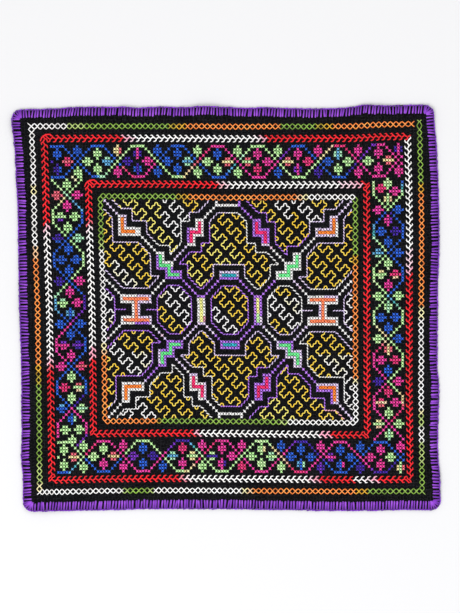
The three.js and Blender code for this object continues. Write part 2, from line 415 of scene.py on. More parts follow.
def ground_sheet():
    n = GROUND_POINTS
    top, left = side_curve(0), side_curve(3)
    right, bottom = side_curve(1)[::-1], side_curve(2)[::-1]
    s = np.linspace(0, 1, n)[None, :, None]
    t = np.linspace(0, 1, n)[:, None, None]
    sheet = ((1 - t) * bottom[None] + t * top[None] + (1 - s) * left[:, None] + s * right[:, None]
             - ((1 - s) * (1 - t) * bottom[0] + s * (1 - t) * bottom[-1]
                + (1 - s) * t * top[0] + s * t * top[-1]))
    x, y = sheet[..., 0], sheet[..., 1]
    z = lift(x, y)
    over = np.stack([x, y, z + CLOTH_THICK], axis=-1).reshape(-1, 3)
    under = np.stack([x, y, z], axis=-1).reshape(-1, 3)
    index = np.arange(n * n).reshape(n, n)
    a, b, c, d = index[:-1, :-1], index[:-1, 1:], index[1:, 1:], index[1:, :-1]
    rim = np.concatenate([index[0, :-1], index[:-1, -1], index[-1, :0:-1], index[:0:-1, 0]])
    after = np.roll(rim, -1)
    faces = np.concatenate([np.stack([a, b, c, d], axis=-1).reshape(-1, 4),
                            np.stack([a, d, c, b], axis=-1).reshape(-1, 4) + n * n,
                            np.stack([rim, rim + n * n, after + n * n, after], axis=-1)])
    return mesh_object("ground", np.concatenate([over, under]) * MM, faces.ravel(),
                       np.full(len(faces), 4), ground_material)


ground = ground_sheet()

# Stitches. Heights and radii are in millimetres, reaches in cells of the grid.


def column(*values):
    return np.array(values)[:, None]


# five points of an arm: share of its length, height, and the lift of the upper arm
ARM_SHARES = np.array([0, 0.2, 0.5, 0.8, 1.0])
ARM_HEIGHTS = np.array([-0.2, 0.25, 0.45, 0.25, -0.2])
ARM_RISES = np.array([0, 0.17, 0.34, 0.17, 0])
# reach of an arm in cells, radius of its yarn, and along the arm its thickness and painted light:
# painted shade at the ends, where it dives into the cloth, and a painted highlight in the middle
OPEN_CROSS = dict(reach=0.48, radius=0.54, sizes=[0.32, 0.6, 1.2, 0.6, 0.32],
                  shades=column(0.5, 0.82, 1.2, 0.82, 0.5))
FULL_CROSS = dict(reach=0.57, radius=0.57, sizes=[0.6, 0.9, 1.1, 0.9, 0.6],
                  shades=column(0.5, 0.9, 1.15, 0.9, 0.5))

# how uneven hand work is: place and lean of an arm, in cells, and its reach and shade, as
# shares of their means
PLACE_SPREAD, LEAN_SPREAD = 0.04, 0.05
REACH_SPREAD, SHADE_SPREAD = 0.06, 0.15

STRAND_HEIGHT = 0.34
# painted light along a strand: a painted highlight where the two threads cross, and painted shade
# towards the middle of the strand
CHAIN_PAINTED_LIGHT = column(1.12, 1.02, 0.94, 0.9, 0.94, 1.02, 1.12)
CHAIN_RADIUS = 0.46
# reach of a diamond's side from the line, and its spread
CHAIN_REACH, CHAIN_SPREAD = 0.87, 0.05
# how far the two threads part in height where they cross, and how far their ends dip
CHAIN_PARTING, CHAIN_DIP = 0.16, 0.12
# painted shade: how much deeper and darker dyed yarn is drawn where a strand bows out
PEAK_SHADE_DEEPENING = 0.38

PLAIT_RADIUS = 0.62
PLAIT_REACH = 1.06
PLAIT_PARTING = 0.22
# a colour counts as undyed yarn when its darkest channel is above this
UNDYED = 0.6
# the two strands of a unit: share of its length, and share of the width from the outer edge
STRANDS = [np.array([(0, 0.05), (0.25, 0), (0.54, 0.33), (0.78, 0.47), (1.0, 0.6)]),
           np.array([(0.5, 1.0), (0.78, 0.95), (0.96, 0.84), (1.0, 0.62), (1.27, 0.42),
                     (1.54, 0.29)])]

NO_DRIFT = ((0, 0),)


def shaded(colour, amount):
    return np.clip(colour * (1 + rng.normal(0, amount)), 0, 1)


def cross_stitch(yarn, u, v, colour, full=False):
    """One cross-stitch over the cell centred on u, v: the lower arm, then the upper. A full
    one is worked in plump yarn that hides the ground."""
    style = FULL_CROSS if full else OPEN_CROSS
    # in open work, pale yarn is the thicker one
    radius = style["radius"] * (1 if full else 0.9 + 0.25 * colour.mean())
    du, dv = rng.normal(0, PLACE_SPREAD, 2)
    for rises, slant in ((0, -1), (ARM_RISES, 1)):
        reach = style["reach"] * (1 + rng.normal(0, REACH_SPREAD))
        lean = rng.normal(0, LEAN_SPREAD)
        us = u + du + (lean - reach) * (1 - 2 * ARM_SHARES)
        vs = v + dv + (slant * reach - lean) * (1 - 2 * ARM_SHARES)
        # painted shade at the ends of the arm and a painted highlight at its middle, over its random
        # tone
        tones = np.minimum(shaded(colour, SHADE_SPREAD) * style["shades"], 1)
        yarn.thread(over_cloth(us, vs, ARM_HEIGHTS + rises), radius, tones, flat=0.7,
                    ends=style["sizes"])


def dyes(run):
    """Colours of a dyed thread and the places where each gives way to the next."""
    words = run.split()
    return [YARN[name] for name in words[::2]], [float(word) for word in words[1::2]]


def run_colour(dyed, at, blend=1.6):
    """Colour at a place along a dyed thread."""
    colours, changes = dyed
    colour = colours[0]
    for change, after in zip(changes, colours[1:]):
        t = smooth((at - change + blend / 2) / blend)
        colour = colour * (1 - t) + after * t
    return colour


def uneven(at, drift):
    """Place along a border line after the drift of its hand-counted stitches."""
    return at + np.interp(at, *zip(*drift))


def runs_across(side):
    """Whether a side runs across the cloth, from left to right."""
    return side in ("top", "bottom")


def grid_places(side, at, out):
    """Grid places from the way along a side and the place of a line beside it."""
    return (at, out) if runs_across(side) else (out, at)


def zigzag_chain(yarn, side, fixed, start, end, run, drift=NO_DRIFT, open_end=False):
    """Two threads that cross on the line and make a row of diamonds, two cells each. With
    an open end, the last diamond is left half done."""
    dyed, diamonds = dyes(run), int(round((end - start) / 2))
    step = (end - start) / diamonds
    for way in (1, -1):
        for i in range(diamonds):
            t = np.linspace(0, 0.5 if open_end and i == diamonds - 1 else 1, len(CHAIN_PAINTED_LIGHT))
            at = start + (i + t) * step
            bow = way * (1 if i % 2 == 0 else -1)
            arch = np.sin(t * math.pi)
            peak = 0.5 * arch + 0.5 * (1 - np.abs(2 * t - 1))
            out = fixed + bow * rng.normal(CHAIN_REACH, CHAIN_SPREAD) * peak
            colours = np.array([run_colour(dyed, where, 0.8) for where in at])
            height = STRAND_HEIGHT + CHAIN_PARTING * bow * np.cos(t * math.pi) * way
            height[[0, -1]] -= CHAIN_DIP
            # painted shade: dyed yarn is drawn deeper and darker where it bows out, and undyed yarn
            # hardly is
            deep = 1 + PEAK_SHADE_DEEPENING * arch[:, None]
            tones = np.minimum(shaded(colours ** deep, SHADE_SPREAD) * CHAIN_PAINTED_LIGHT, 1)
            u, v = grid_places(side, uneven(at, drift), out)
            yarn.thread(over_cloth(u, v, height), CHAIN_RADIUS, tones, ends=0.9)


def plait(yarn, side, fixed, start, end, run, drift=NO_DRIFT):
    """A plaited line of slanting strands that circulates clockwise."""
    dyed, count = dyes(run), int(round(abs(end - start) / 2))
    step = (end - start) / count
    outward = 1 if side in ("top", "right") else -1
    for i in range(count):
        colour = run_colour(dyed, start + (i + 0.5) * step)
        # undyed yarn is a little thinner than dyed, and more even
        undyed = colour.min() > UNDYED
        radius = PLAIT_RADIUS * (0.9 if undyed else 1)
        tone = 1 if undyed else 0.92 + 0.08 * math.sin(i * 0.31 + start)
        for layer, strand in enumerate(STRANDS):
            at = uneven(start + (i + strand[:, 0]) * step, drift)
            out = fixed + outward * (1 - 2 * strand[:, 1]) * PLAIT_REACH
            height = np.full(len(strand), STRAND_HEIGHT + PLAIT_PARTING * layer)
            height[[0, -1]] = 0.0
            yarn.thread(over_cloth(*grid_places(side, at, out), height), radius,
                        shaded(colour * tone, 0.05), ends=0.7)


# Border lines. For each: its side, the row or column that it follows, where it starts and
# ends, its colours with the places where each gives way to the next, and its drift.

OUTER_CHAIN = [
    dict(side="top", fixed=60, start=-67.5, end=65.515, open_end=True,
         run="white -55.4 pale_leaf -49.5 leaf -20.5 olive -18 gold -14.5 orange 18.6 leaf "
             "31 olive 34 gold 37 orange",
         drift=((-60, 0), (-45, 0), (-32, 0.5), (-21, 0.35), (-10, 0.17), (0, 0), (32, 0),
                (41, 0.17), (48, 0.4), (55, 0.75), (60, 0.85), (64, 1.2))),
    dict(side="bottom", fixed=-60, start=-67.5, end=67.5,
         run="white -37.3 pale_leaf -35.5 leaf -28.5 pale_leaf -26.5 white 5 cream 7 peach "
             "9 orange 44.5 gold 48.8 leaf",
         drift=((-67, 0), (-61, -1.1), (-57, -1.3), (-48, -1.15), (-40, -1), (-21, -0.65),
                (-10, -0.65), (0, -1), (20, -1), (32, -0.65), (42, -0.1), (48, -0.25),
                (56, -0.3), (62, 0))),
    dict(side="right", fixed=67.5, start=-60, end=60,
         run="leaf -51 pale_leaf -43.5 white -38.5 pale_leaf -34.5 cream -33 white -3 cream "
             "1 orange 38 gold 41 leaf",
         drift=((50, 0), (56, 0.2), (58, 0.16), (60, 0.84))),
    dict(side="left", fixed=-67.5, start=-60, end=60,
         run="cream -57 pale_leaf -50 leaf -24.5 olive -21 gold -18 orange 17.5 peach "
             "21.5 white 38 cream 41 white",
         drift=((-9, 0), (0, -0.6), (10, -0.65), (36, -0.4), (45, 0))),
]
INNER_CHAIN = [
    dict(side="top", fixed=37, start=-44.5, end=44.5,
         run="leaf -18 olive -16 gold -13.5 orange 24 peach 26 cream 28 white"),
    dict(side="bottom", fixed=-37, start=-44.5, end=44.5,
         run="orange -26 olive -24.5 leaf 17.5 pale_leaf 20.5 white"),
    dict(side="right", fixed=44.5, start=-37, end=37,
         run="white -24 cream -22.5 orange 15 gold 18 leaf"),
    dict(side="left", fixed=-44.5, start=-37, end=37,
         run="orange -15 peach -13.5 cream -11 white 19.5 pale_leaf 22.5 leaf"),
]
OUTER_PLAIT = [
    dict(side="top", fixed=56, start=-63.3, end=63.3,
         run="red -37 pink -35.2 rose -33.4 white 10.2 rose 11.4 pink 13 red",
         drift=((-45, 0), (-32, 0.5), (-21, 0.5), (-10, 0.17), (0, 0))),
    dict(side="right", fixed=63.3, start=56, end=-56, run="red 12.2 pink 14.5 rose 19.5 white"),
    dict(side="bottom", fixed=-56, start=63.3, end=-63.3,
         run="red -16.2 pink -14.2 white 28.8 rose 30.5 pink 32.6 red 45 white 50.5 pink "
             "53.5 red",
         drift=((-62, 0), (-55, -0.4), (-42, -0.85), (-31, -0.8), (-15, -0.4), (0, -0.85),
                (42, -0.9), (48.5, -0.83), (56, -0.17), (60, 0))),
    dict(side="left", fixed=-63.3, start=-56, end=56,
         run="red -18.8 pink -17 rose -15 white 25 rose 26.8 pink 28.2 red",
         drift=((-25, 0), (-10, -0.5), (0, -1.1), (19, -1.25), (29, -0.35), (45, 0))),
]
INNER_PLAIT = [
    dict(side="top", fixed=41, start=-48.5, end=48.5,
         run="red -3.2 rose -0.5 white 38 rose 43.5 pink 46 red"),
    dict(side="right", fixed=48.5, start=41, end=-41, run="red"),
    dict(side="bottom", fixed=-41, start=48.5, end=-48.5,
         run="red -12.5 pink -10.5 white 32 pink 36 red"),
    dict(side="left", fixed=-48.5, start=-41, end=41,
         run="red -16.5 pink -13 white 25.8 rose 26.8 pink 27.8 red"),
]
BORDERS = [("chain_outer", zigzag_chain, OUTER_CHAIN), ("chain_inner", zigzag_chain, INNER_CHAIN),
           ("plait_outer", plait, OUTER_PLAIT), ("plait_inner", plait, INNER_PLAIT)]
worked = {name: Yarn() for name, _, _ in BORDERS}
for name, work, sides in BORDERS:
    for line in sides:
        work(worked[name], **line)

# at the top left each plait turns in a round stitch, and the outer chain has tails at corners
ROUND_TURN = np.array([(-1.4, -0.8), (-0.8, 0.4), (0.5, 1.3), (2.0, 1.4), (3.0, 0.5)])
TURN_HEIGHTS, TAIL_HEIGHTS = np.array([0, 0.5, 0.6, 0.5, 0]), np.array([0, 0.3, 0.4, 0.4, 0.3])
TURN_RADIUS, TAIL_RADIUS = 0.64, 0.42
TAILS = [(-68.9, 61.1, -67.3, 59.8, "white"), (66.7, 61.4, 67.6, 60.7, "leaf"),
         (68.3, 61.4, 67.4, 60.7, "leaf"), (68.7, -61.2, 67.0, -59.6, "leaf"),
         (-68.4, -61.0, -66.8, -59.5, "white")]
for name, corner in (("plait_outer", (-63.3, 56)), ("plait_inner", (-48.5, 41))):
    turned = over_cloth(*(ROUND_TURN + corner).T, TURN_HEIGHTS)
    worked[name].thread(turned, TURN_RADIUS, YARN["red"], ends=0.7)
for u1, v1, u2, v2, name in TAILS:
    tail = over_cloth(np.linspace(u1, u2, 5), np.linspace(v1, v2, 5), TAIL_HEIGHTS)
    worked["chain_outer"].thread(tail, TAIL_RADIUS, YARN[name])

# Flowered bands. Two vines cross and part along each band and make lenses 14 cells long and
# 11 wide. A flower sits in each side of a lens and one above and one below each crossing.

LENS, HALF_LENS = 14, 7
VINE_REACH = 5
# how far the tip of a flower lies from the middle of the band or the lens: at a lens's side,
# at its ends and beside a crossing
SIDE_TIP, END_TIP, GAP_TIP = 4, 2, 5
PETALS = [(0, 0), (1, -1), (1, 0), (1, 1), (2, -1), (2, 0), (2, 1), (3, 0)]

# For each band: the first lens, the reach of its flowers, the two dyed vines, each with its
# ends, the colour of each crossing and the flowers. A lens has the words high side, onward, low
# side, backward; a crossing high, low. High is the top or right of the band, and onward is to
# the right or up. A flower with three words has its rows dyed apart, from low or left to high
# or right; with two words, its sides and its middle.
BANDS = {
    "top": dict(
        first=-59, along=(-61, 61), middle=48.5,
        vines=[("blue -45.4 sky -44.4 mint -41.5 lime -15.5 buff -13.4 peach -11.4 coral "
                "-9.5 hot_pink -5 magenta 18.7 plum 22.6 blue 42.6 indigo 47 plum 52.4 magenta",
                -61, 61),
               ("blue -36.5 coral -35.4 hot_pink -32.5 magenta -23.5 blue 0.6 sky 2.6 teal "
                "4.5 mint 6.6 lime 32.5 buff 35.6 peach 37.6 hot_pink 44 magenta", -61, 61)],
        knots="blue lime lime coral magenta magenta lime magenta magenta",
        lenses=["blue hot_pink/coral indigo/indigo/blue indigo", "lime sky/sky/mint lime lime",
                "indigo/magenta magenta blue/indigo indigo", "blue mint/sky/mint blue blue",
                "blue coral/buff lime lime", "magenta magenta hot_pink coral/lime",
                "magenta hot_pink plum/magenta/indigo coral/buff",
                "mint/sky lime lime blue", "magenta coral/buff magenta lime"],
        crossings=["blue lime", "buff/buff/coral magenta", "blue blue", "lime lime",
                   "lime lime", "lime blue", "magenta indigo", "magenta magenta",
                   "indigo/magenta/indigo magenta"]),
    "bottom": dict(
        first=-59, along=(-61, 61), middle=-48.5,
        vines=[("lime -51.6 blue -37.6 lime -16.6 buff -13.6 peach -12.4 hot_pink -5 magenta "
                "20.5 plum 23.6 indigo 33.6 blue", -61, 61),
               ("blue -57.4 sky -55.5 teal -54.4 mint -53.4 lime -51.6 hot_pink -47 magenta "
                "-22.5 plum -19.6 indigo -14.5 sky -13.5 teal -12.5 mint -11 lime 14.5 buff "
                "16.5 peach 20 coral 21.4 hot_pink 26.5 magenta 49.6 plum 51 indigo 58.6 blue",
                -61, 61)],
        knots="lime magenta magenta lime lime peach magenta magenta blue",
        lenses=["lime coral/buff lime lime", "lime coral/buff magenta lime",
                "blue indigo blue plum", "hot_pink buff/lime magenta mint/sky/mint",
                "magenta magenta magenta/magenta/indigo lime/indigo",
                "lime/lime/buff mint/lime/mint lime lime", "blue blue sky/blue/mint blue",
                "blue blue blue/blue/magenta plum/magenta", "magenta lime magenta magenta"],
        crossings=["lime lime", "magenta magenta", "none blue", "magenta lime",
                   "magenta hot_pink", "blue lime", "magenta indigo/plum/indigo",
                   "blue indigo", "magenta buff/lime/coral"]),
    "left": dict(
        first=-39.5, along=(-44.5, 42.5), middle=-56,
        vines=[("plum -41.2 magenta -32 blue -0.8 sky 4 mint 6.5 lime 34.6 buff 37 lime",
                -44.5, 42.5),
               ("magenta -32 indigo -28 blue -17 magenta -3.6 plum 1 indigo 5 blue 32 sky "
                "36 mint 39 lime", -41.5, 42.5)],
        knots="magenta blue magenta blue blue mint",
        lenses=["lime blue/blue/mint lime lime", "peach/lime/coral lime hot_pink lime",
                "indigo/plum/indigo blue magenta/magenta/plum magenta",
                "magenta magenta lime/lime/mint sky/blue", "blue blue blue blue",
                "lime magenta plum/lime/lime lime", "none none none lime"],
        crossings=["lime/mint/lime blue/blue/sky", "hot_pink/coral magenta", "blue blue",
                   "magenta indigo", "mint blue/indigo/indigo", "magenta coral"]),
    "right": dict(
        first=-44.5, along=(-42.5, 42.5), middle=56,
        vines=[("magenta -24 lime -9.2 peach -8 buff -5.5 lime 4 blue 18.8 lime 22.4 mint "
                "24.2 teal 26 sky 28.2 blue 32 lime 38 mint 39.2 teal 40.2 sky 41.2 blue",
                -42.5, 41.5),
               ("magenta -37 hot_pink -32 coral -31 peach -29.8 buff -27.2 lime -23.2 magenta "
                "-14 hot_pink -12.2 coral -11 peach -10 lime 0 mint 1.5 teal 2.8 sky 4 lime "
                "18 blue 31 indigo 32 lime", -42.5, 41.5)],
        knots="magenta lime lime sky blue lime",
        lenses=["none lime/mint/lime none none", "magenta hot_pink coral/peach/hot_pink lime",
                "hot_pink coral/buff/coral magenta blue", "blue lime/mint/lime blue blue",
                "peach/hot_pink/hot_pink lime lime/lime/buff magenta",
                "indigo magenta/magenta/plum blue blue",
                "magenta lime hot_pink buff/lime/peach"],
        crossings=["lime peach/lime/buff", "magenta indigo", "blue lime", "lime lime",
                   "blue mint/sky/sky", "blue magenta"]),
}

# the last lens of the right band had no room, so two of its flowers were set lower
NUDGES = {("right", 6): (-1, -2, 0, 0)}
# stitches beyond the last lens: a last crossing in the top and bottom bands, and loose ones in
# the left band
LAST_KNOT = ((60, 0), (61, 1), (61, -1))
LEFT_EXTRAS = ((-54, 43.5, "cream"), (-53, 42.5, "cream"), (-51, 43.5, "lime"),
               (-51, 44.5, "lime"))


def flower_band(side):
    """Two vines that cross at every lens's end, and the flowers between them."""
    yarn, chart = Yarn(), BANDS[side]
    low, high = chart["along"]
    vines = [(dyes(run), start, end) for run, start, end in chart["vines"]]

    def cell(at, off, colour):
        cross_stitch(yarn, *grid_places(side, at, chart["middle"] + off), colour)

    def flower(word, cell_of):
        if word == "none":
            return
        names = word.split("/")
        rows = {1: names * 3, 2: [names[0], names[-1], names[0]], 3: names}[len(names)]
        for reach, wide in PETALS:
            at, off = cell_of(reach, wide)
            if low <= at <= high:
                cell(at, off, YARN[rows[wide + 1]])

    knots = ["blue"] + chart["knots"].split()
    for k, words in enumerate(chart["lenses"]):
        centre = chart["first"] + LENS * k
        for edge in (1, -1):
            dyed, start, end = vines[0 if (k % 2 == 0) == (edge == 1) else 1]
            for i in range(-HALF_LENS if edge == 1 else 1 - HALF_LENS, HALF_LENS):
                if start <= centre + i <= end:
                    knot = i == -HALF_LENS
                    colour = YARN[knots[k]] if knot else run_colour(dyed, centre + i, 0.5)
                    cell(centre + i, edge * min(VINE_REACH, HALF_LENS - abs(i)), colour)
        nudges, ways = NUDGES.get((side, k), (0, 0, 0, 0)), ((0, 1), (1, 0), (0, -1), (-1, 0))
        for word, nudge, (on, over) in zip(words.split(), nudges, ways):
            if on == 0:
                flower(word, lambda reach, wide: (centre + wide + nudge,
                                                  over * (SIDE_TIP - reach)))
            else:
                flower(word, lambda reach, wide: (centre + on * (END_TIP + reach) + nudge, wide))
    if runs_across(side):
        for at, off in LAST_KNOT:
            cell(at, off, YARN[knots[-1]])
    for k, words in enumerate(chart["crossings"]):
        centre = chart["first"] + HALF_LENS + LENS * k
        for word, edge in zip(words.split(), (1, -1)):
            flower(word, lambda reach, wide: (centre + wide, edge * (GAP_TIP - reach)))
    if side == "left":
        for u, v, name in LEFT_EXTRAS:
            cross_stitch(yarn, u, v, YARN[name])
    return yarn.build(f"flowers_{side}", stitch_material)


pieces = [flower_band(side) for side in BANDS]

# The patterned middle. Its shapes are charted in the right top quarter and flipped. A colour
# is one word, or a function of the place that gives one.

panel = Yarn()
QUARTERS = ((1, 1), (-1, 1), (1, -1), (-1, -1))


def flip(path, fx, fy):
    return [(fx * u, fy * v) for u, v in path]


def word_at(colour, u, v):
    return colour(u, v) if callable(colour) else colour


def stairs(points):
    """Places a cell apart along a path, whose diagonal stretches take a cell both ways."""
    path = [points[0]]
    for (u1, v1), (u2, v2) in zip(points, points[1:]):
        steps = int(round(max(abs(u2 - u1), abs(v2 - v1))))
        for k in range(1, steps + 1):
            path.append((u1 + (u2 - u1) * k / steps, v1 + (v2 - v1) * k / steps))
    return path


def block(path, fill, edge):
    """Full cross-stitches along a path, ringed by open ones."""
    filled = set(stairs(path))
    ring = {(u + i, v + j) for u, v in filled for i in (-1, 0, 1) for j in (-1, 0, 1)} - filled
    for cells, colour, full in ((ring, edge, False), (filled, fill, True)):
        for u, v in sorted(cells):
            cross_stitch(panel, u, v, YARN[word_at(colour, u, v)], full)


HOOK = [(10, 28.5), (10, 25.5), (13, 25.5), (13, 22.5)]
ANGLE = [(37, 29.5), (37, 25.5), (32, 25.5)]
STAIR = [(24, 17.5), (24, 14.5), (21, 14.5), (21, 11.5), (18, 11.5)]
POST = [(10, 3.5), (10, -3.5)]
BAR = [(-2, 11.5), (2, 11.5)]
BEAM = [(29, 3.5), (37, 3.5), (33, 3.5), (33, -3.5), (29, -3.5), (37, -3.5)]

# path, colour of the filling, and colours of the ring in the quarters right top, left top,
# right bottom and left bottom
BLOCKS = [
    (HOOK, "cerise",
     lambda u, v: "lavender" if v < 22 else "violet",
     lambda u, v: "violet" if u < -13 and v > 21.7 else
     "lavender" if v > 26 and u < -11 else "white",
     "violet",
     lambda u, v: "lavender" if v > -22 or u > -9.5 else "white"),
    (ANGLE, lambda u, v: "white" if (u, v) == (-32, 25.5) else "blaze",
     lambda u, v: "white" if u > 37 and v < 29 else "lavender",
     lambda u, v: "lavender" if v > 26.7 and u > -37.5 else "white",
     lambda u, v: "violet" if u < 37 and v < -24.7 else "lavender",
     "white"),
    (STAIR, "jade",
     "white",
     lambda u, v: "white" if v > 14 and u > -24.5 or v > 18 else "violet",
     lambda u, v: "violet" if v > -11 and u > 17.5 or u > 21.5 and v > -13 else "lavender",
     lambda u, v: "lavender" if u < -24.5 and v > -18 else "violet"),
    (POST, lambda u, v: "lime" if u > 0 and v < -1 else "lemon",
     lambda u, v: "lavender" if u > 10 and v < -1.5 else "violet",
     lambda u, v: "violet" if v > 4 else "lavender" if v < -4 else
     "pink" if u > -10 and v < -2 else "white"),
    (BAR, "deep_teal", lambda u, v: "violet" if v < 11 else "lavender"),
    (flip(BAR, 1, -1), "deep_teal", "violet"),
    (BEAM, "salmon",
     lambda u, v: "lavender" if v > 4 and u > 33 or u == 32 and abs(v) < 2 else "white",
     lambda u, v: "violet" if v < -4 and -34 < u < -28.5 else
     "lavender" if u > -33 else "white"),
]
for path, fill, *edges in BLOCKS:
    for quarter, edge in zip(QUARTERS, edges):
        block(flip(path, *quarter), fill, edge)

# the short rows at the top and bottom of the middle, with two crosses at each end
END_ROW = 34.5
for u in range(-3, 4):
    for sign in (1, -1):
        cross_stitch(panel, u, sign * END_ROW, YARN["white"])
for u, sign, word in ((-4, 1, "white"), (4, 1, "violet"), (-4, -1, "white"), (4, -1, "white")):
    for v in (END_ROW, END_ROW + 1):
        cross_stitch(panel, u, sign * v, YARN[word])

# diagonals of five cross-stitches: first cell, step, and colours by quarter, in the same order
DIAGONALS = [
    ((4, 34.5), (1, -1), "violet", "white", "white", "white"),
    ((15, 20.5), (1, -1), "blush white", "lavender", "violet", "white lavender"),
    ((26, 19.5), (1, 1), "white", "white", "violet", "violet violet violet violet lavender"),
    ((39, 31.5), (1, 1), "lavender", "lavender", "lavender", "white"),
    ((12, 5.5), (1, 1), "violet", "violet", "lavender white", "lavender"),
    ((8, 5.5), (-1, 1), "violet", "violet", "violet", "lavender lavender lavender violet"),
    ((23, 9.5), (1, -1), "lavender lavender blush white", "white", "lavender",
     "lavender blush lavender white"),
    ((39, 5.5), (1, 1), "white", "white", "white", "white white white white blush"),
]
for start, step, *quarters in DIAGONALS:
    for (fx, fy), words in zip(QUARTERS, quarters):
        words = words.split()
        for k in range(5):
            cross_stitch(panel, fx * (start[0] + k * step[0]), fy * (start[1] + k * step[1]),
                         YARN[words[min(k, len(words) - 1)]])

# Outlines in the middle, in backstitch

lines = Yarn()
LINE_SHARES = np.array([0.04, 0.22, 0.5, 0.78, 0.96])
LINE_HEIGHTS = np.array([-0.35, 0.2, 0.42, 0.2, -0.35])
# along a stitch: painted shade at the ends, where it dives into the cloth, and a painted highlight
# in the middle
LINE_PAINTED_LIGHT = column(0.3, 0.8, 1.1, 0.8, 0.3)
LINE_RADIUS = 0.44
# sideways sway of a diagonal stitch, and slant of a straight one
LINE_SWAY, LINE_SLANT = 0.14, 0.15


def backstitch(points, colour):
    """A row of short stitches along a line, one cell each."""
    path, t = stairs(points), LINE_SHARES
    for (u1, v1), (u2, v2) in zip(path, path[1:]):
        diagonal = u1 != u2 and v1 != v2
        sway = LINE_SWAY * np.sin(t * 2 * math.pi) if diagonal else -LINE_SLANT * (2 * t - 1)
        u = u1 + (u2 - u1) * t + sway * (v2 - v1)
        v = v1 + (v2 - v1) * t - sway * (u2 - u1)
        dye = YARN[word_at(colour, (u1 + u2) / 2, (v1 + v2) / 2)]
        tones = np.minimum(shaded(dye, 0.1) * LINE_PAINTED_LIGHT, 1)
        lines.thread(over_cloth(u, v, LINE_HEIGHTS), LINE_RADIUS, tones, ends=0.6)


HALF_CROWN = [(0, 32), (3.5, 32), (6.5, 29), (6.5, 22), (9.5, 22), (9.5, 19), (13.5, 19),
              (17.5, 15), (14.5, 15), (14.5, 11), (10.5, 7), (9.5, 7), (5.5, 11), (5.5, 15), (0, 15)]
SHOULDER = [(6.5, 36), (10.5, 32), (13.5, 32), (13.5, 29), (16.5, 29), (16.5, 22), (20.5, 18),
            (20.5, 21), (24.5, 21), (28.5, 25), (28.5, 29), (33.5, 29), (33.5, 33), (37.5, 33),
            (40.5, 36)]
HIP = [(43.5, 33), (40.5, 30), (40.5, 22), (31.5, 22), (27.5, 18), (27.5, 11), (24.5, 11),
       (28.5, 7), (37.5, 7), (43.5, 13)]
WAIST = [(43.5, 7), (40.5, 4), (40.5, -4), (43.5, -7)]
SIDE_RING = [(17.5, 8), (21.5, 8), (25.5, 4), (25.5, -4), (21.5, -8), (17.5, -8), (13.5, -4),
             (13.5, 4), (17.5, 8)]
MIDDLE_RING = [(-2.5, 8), (2.5, 8), (6.5, 4), (6.5, -4), (2.5, -8), (-2.5, -8), (-6.5, -4),
               (-6.5, 4), (-2.5, 8)]

# path, and colours by quarter, in the same order
OUTLINES = [
    (HALF_CROWN, lambda u, v: "lavender" if v < 17 and u < 6 else "white",
     lambda u, v: "lavender" if v > 27.5 or v < 16 and u > -6 else "violet",
     lambda u, v: "lavender" if v > -18.7 else "violet",
     lambda u, v: "violet" if v < -31.5 and u > -4 else "lavender" if v > -18.7 else "white"),
    (SHOULDER, lambda u, v: "lavender" if u > 27.5 and v > 24.5 else "violet",
     lambda u, v: "white" if u > -27 and v < 30 else "lavender",
     lambda u, v: "pink" if v < -32.5 and u > 33 else "violet",
     "white"),
    (HIP, lambda u, v: "lavender" if v > 10 or u < 29 else "white",
     "lavender",
     lambda u, v: "lavender" if v > -13 and u > 28 else "white",
     lambda u, v: "lavender" if v < -28 else "violet"),
    (WAIST, "lavender", "violet"),
    ([(40.5, 0), (36.5, 0)], "lavender", "violet"),
    (SIDE_RING, lambda u, v: "lavender" if v < -5 else "white", "violet"),
    ([(25.5, 0), (29.5, 0)], "lavender", "violet"),
    (MIDDLE_RING, "violet"),
]
for path, *colours in OUTLINES:
    for quarter, colour in zip(QUARTERS, colours):
        backstitch(flip(path, *quarter), colour)

# The running line that fills the fields between the outlines

running = Yarn()
# One repeat of the line, which goes on 3 cells right and 3 down. Lines come in pairs: the
# second lies 2 cells right and 5 up of the first, and each pair 7 right and up of the last.
MEANDER = [(0, 0), (1, 0), (1, 1), (2, 1), (2, 2), (1, 2), (1, 3), (0, 3), (0, 4), (1, 4), (1, 5),
           (2, 5), (2, 4), (3, 4)]
REPEAT_STEP, PAIR_STEP, PARTNER = 3, 7, (2, 5)
LINES_EACH_WAY = REPEATS_EACH_WAY = 30
MARGIN = 3
# a strand needs more than FEWEST points, and a jump of JUMP cells ends it
FEWEST, JUMP = 3, 2
FILL_RADIUS = 0.48
FILL_HEIGHT, FILL_WAVE = 0.3, 0.08
FILL_TURN = 2.1


def inside(u, v, region):
    """Which points lie in a closed region."""
    hit = np.zeros(len(u), bool)
    for (u1, v1), (u2, v2) in zip(region, region[1:] + region[:1]):
        if v1 != v2:
            hit ^= ((v1 > v) != (v2 > v)) & (u < u1 + (v - v1) * (u2 - u1) / (v2 - v1))
    return hit


def rounded(path):
    """The stepped line with its corners cut into smooth bends."""
    middles = (path[:-1] + path[1:]) / 2
    points = []
    for a, corner, b in zip(middles, path[1:], middles[1:]):
        for t in (0.0, 0.34, 0.67):
            points.append(a * (1 - t) ** 2 + corner * 2 * t * (1 - t) + b * t * t)
    return np.array(points + [middles[-1]])


def draw_fill(curve, colour):
    """One strand of the running line. Gold yarn pales and deepens along it."""
    steps = np.arange(len(curve))
    height = FILL_HEIGHT + FILL_WAVE * np.sin(steps * FILL_TURN)
    height[[0, -1]] = 0.0
    shades = np.array([YARN[word_at(colour, u, v)] for u, v in curve])
    if word_at(colour, *curve[0]) == "fill_gold":
        pale = 0.22 + 0.22 * np.sin(steps * 0.19 + rng.uniform(0, 6))[:, None]
        shades = shades * (1 - pale) + YARN["fill_light"] * pale
    # painted light that rises and falls with the wave of the stitch's height
    shades = shades * (0.95 + 0.14 * np.sin(steps * FILL_TURN + 1))[:, None]
    running.thread(over_cloth(*curve.T, height), FILL_RADIUS, np.clip(shades, 0, 1), ends=0.7)


